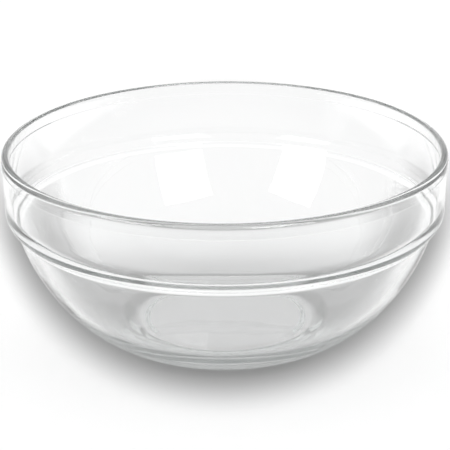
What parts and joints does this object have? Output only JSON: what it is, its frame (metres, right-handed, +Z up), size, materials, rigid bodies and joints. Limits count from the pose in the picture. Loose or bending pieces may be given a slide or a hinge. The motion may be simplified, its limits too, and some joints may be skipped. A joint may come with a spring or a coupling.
{
  "type": "prep bowl",
  "caption": "Round clear pressed glass prep bowl with a beaded rim, an upright stacking collar, a curved body and a flat standing ring.",
  "frame": {"origin": "centre of the standing ring, on the table plane", "axes": "+Z up along the bowl's axis of revolution; X and Y are alike"},
  "size_m": [0.23, 0.23, 0.104],
  "materials": {
    "clear_glass": "clear, colourless, fire polished pressed glass"
  },
  "bodies": {
    "root": {"glass_bowl": "clear_glass"}
  },
  "joints": []
}
